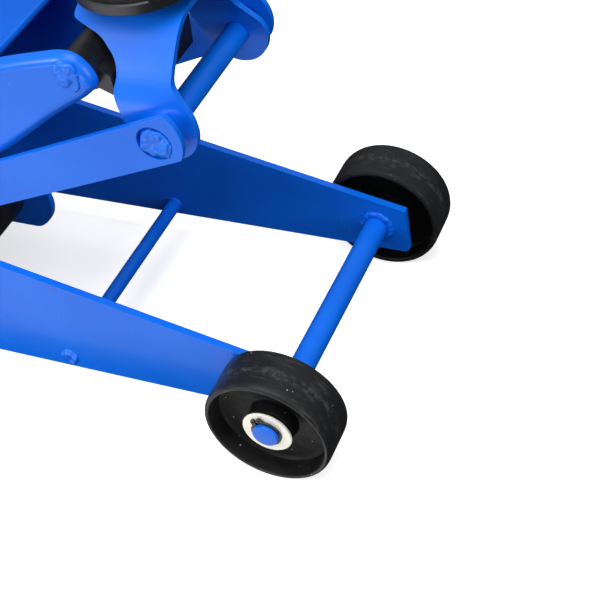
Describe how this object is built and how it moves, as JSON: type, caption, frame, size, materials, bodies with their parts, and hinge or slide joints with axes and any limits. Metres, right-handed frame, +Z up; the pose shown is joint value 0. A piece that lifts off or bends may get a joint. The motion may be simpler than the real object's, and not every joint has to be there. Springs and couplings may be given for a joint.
{
  "type": "car jack",
  "caption": "Hydraulic trolley jack: tapered steel side plates on front wheels and rear casters, a parallelogram lift arm with a level saddle, and a pumping handle.",
  "frame": {"origin": "on the floor, under the middle of the jack's length with its handle", "axes": "+X to the front wheels, +Y to the jack's left, +Z up"},
  "size_m": [1.1894, 0.2956, 0.698],
  "materials": {
    "blue_paint": "glossy enamel over pressed steel, small nibs and scratches",
    "black_paint": "satin enamel over cast iron",
    "black_plastic": "moulded nylon, scuffed tread",
    "zinc": "pale zinc plate",
    "steel": "turned steel, lightly oiled",
    "chrome": "ground and hard chromed",
    "spring_steel": "blackened spring steel",
    "rubber": "ribbed black rubber"
  },
  "bodies": {
    "chassis": {"arm_pivot_nut_left": "zinc", "arm_pivot_nut_right": "zinc", "arm_pivot_shaft": "steel", "axle_circlip_left": "spring_steel", "axle_circlip_right": "spring_steel", "axle_washer_left": "zinc", "axle_washer_right": "zinc", "caster_plate_left": "zinc", "caster_plate_right": "zinc", "cylinder_tube": "black_paint", "front_axle": "blue_paint", "link_pivot_pin_left": "steel", "link_pivot_pin_right": "steel", "oil_tank": "black_paint", "pump_block": "black_paint", "rear_cross_plate": "blue_paint", "return_spring_left": "spring_steel", "return_spring_right": "spring_steel", "side_plate_left": "blue_paint", "side_plate_right": "blue_paint", "socket_pivot_shaft": "steel", "tie_rod": "blue_paint", "unit_bolt_1": "zinc", "unit_bolt_2": "zinc", "unit_bracket_left": "blue_paint", "unit_bracket_right": "blue_paint"},
    "front_wheel_right": {"front_wheel_right": "black_plastic"},
    "front_wheel_left": {"front_wheel_left": "black_plastic"},
    "lift_arm": {"arm_plate_right": "blue_paint", "arm_plate_left": "blue_paint", "arm_web": "blue_paint", "arm_pivot_tube": "blue_paint", "arm_spacer_right": "steel", "arm_spacer_left": "steel", "carrier_pin": "blue_paint"},
    "parallel_link": {"link_bar_right": "blue_paint", "link_bar_left": "blue_paint", "link_cross_shaft": "blue_paint"},
    "carrier": {"saddle_carrier": "blue_paint", "carrier_knuckle": "black_paint"},
    "saddle": {"saddle_cup": "black_paint", "saddle_pad": "rubber"},
    "ram": {"ram_rod": "chrome", "crosshead": "black_paint", "crosshead_pin": "steel"},
    "handle": {"handle_socket": "blue_paint", "handle_tube_lower": "blue_paint", "handle_tube_upper": "blue_paint", "handle_grip": "rubber", "clamp_screw": "zinc"},
    "plunger": {"pump_plunger": "chrome"},
    "release_valve": {"release_stem": "steel", "release_knob": "black_plastic"},
    "caster_right": {"caster_fork_right": "zinc", "caster_axle_right": "steel"},
    "caster_left": {"caster_fork_left": "zinc", "caster_axle_left": "steel"},
    "caster_wheel_right": {"caster_wheel_right": "black_plastic"},
    "caster_wheel_left": {"caster_wheel_left": "black_plastic"}
  },
  "joints": [
    {"name": "front_wheel_right_spin", "type": "hinge", "parent": "chassis", "child": "front_wheel_right", "pos_m": [0.54287, -0.1254, 0.0518], "axis": [0, 1, 0], "continuous": true},
    {"name": "front_wheel_left_spin", "type": "hinge", "parent": "chassis", "child": "front_wheel_left", "pos_m": [0.54287, 0.1254, 0.0518], "axis": [0, 1, 0], "continuous": true},
    {"name": "arm_lift", "type": "hinge", "parent": "chassis", "child": "lift_arm", "pos_m": [0.05717, 0, 0.1552], "axis": [0, -1, 0], "range_deg": [-32.5, 32]},
    {"name": "link_swing", "type": "hinge", "parent": "chassis", "child": "parallel_link", "pos_m": [0.11987, 0, 0.1187], "axis": [0, -1, 0], "range_deg": [-33, 32.5]},
    {"name": "carrier_level", "type": "hinge", "parent": "lift_arm", "child": "carrier", "pos_m": [0.40432, 0, 0.30042], "axis": [0, -1, 0], "range_deg": [-32.5, 33]},
    {"name": "saddle_turn", "type": "hinge", "parent": "carrier", "child": "saddle", "pos_m": [0.43502, 0, 0.33522], "axis": [0, 0, 1], "continuous": true},
    {"name": "ram_slide", "type": "slide", "parent": "chassis", "child": "ram", "axis": [1, 0, 0], "range_m": [-0.0375, 0.037], "deforming": ["return_spring_right", "return_spring_left"]},
    {"name": "handle_pump", "type": "hinge", "parent": "chassis", "child": "handle", "pos_m": [-0.12913, 0, 0.1478], "axis": [0, 1, 0], "range_deg": [-42, 32]},
    {"name": "plunger_slide", "type": "slide", "parent": "chassis", "child": "plunger", "axis": [0, 0, 1], "range_m": [-0.0165, 0.0125]},
    {"name": "release_turn", "type": "hinge", "parent": "chassis", "child": "release_valve", "pos_m": [-0.20213, -0.03, 0.1018], "axis": [1, 0, 0], "range_deg": [0, 270]},
    {"name": "caster_right_swivel", "type": "hinge", "parent": "chassis", "child": "caster_right", "pos_m": [-0.14713, -0.072, 0.0638], "axis": [0, 0, 1], "continuous": true},
    {"name": "caster_wheel_right_spin", "type": "hinge", "parent": "caster_right", "child": "caster_wheel_right", "pos_m": [-0.16913, -0.072, 0.028], "axis": [0, 1, 0], "continuous": true},
    {"name": "caster_left_swivel", "type": "hinge", "parent": "chassis", "child": "caster_left", "pos_m": [-0.14713, 0.072, 0.0638], "axis": [0, 0, 1], "continuous": true},
    {"name": "caster_wheel_left_spin", "type": "hinge", "parent": "caster_left", "child": "caster_wheel_left", "pos_m": [-0.16913, 0.072, 0.028], "axis": [0, 1, 0], "continuous": true}
  ],
  "couplings": [
    {"joint": "link_swing", "follows": "arm_lift", "ratio": 1},
    {"joint": "carrier_level", "follows": "arm_lift", "ratio": -1},
    {"joint": "ram_slide", "follows": "arm_lift", "m_per_rad": 0.065},
    {"joint": "plunger_slide", "follows": "handle_pump", "m_per_rad": 0.022}
  ]
}
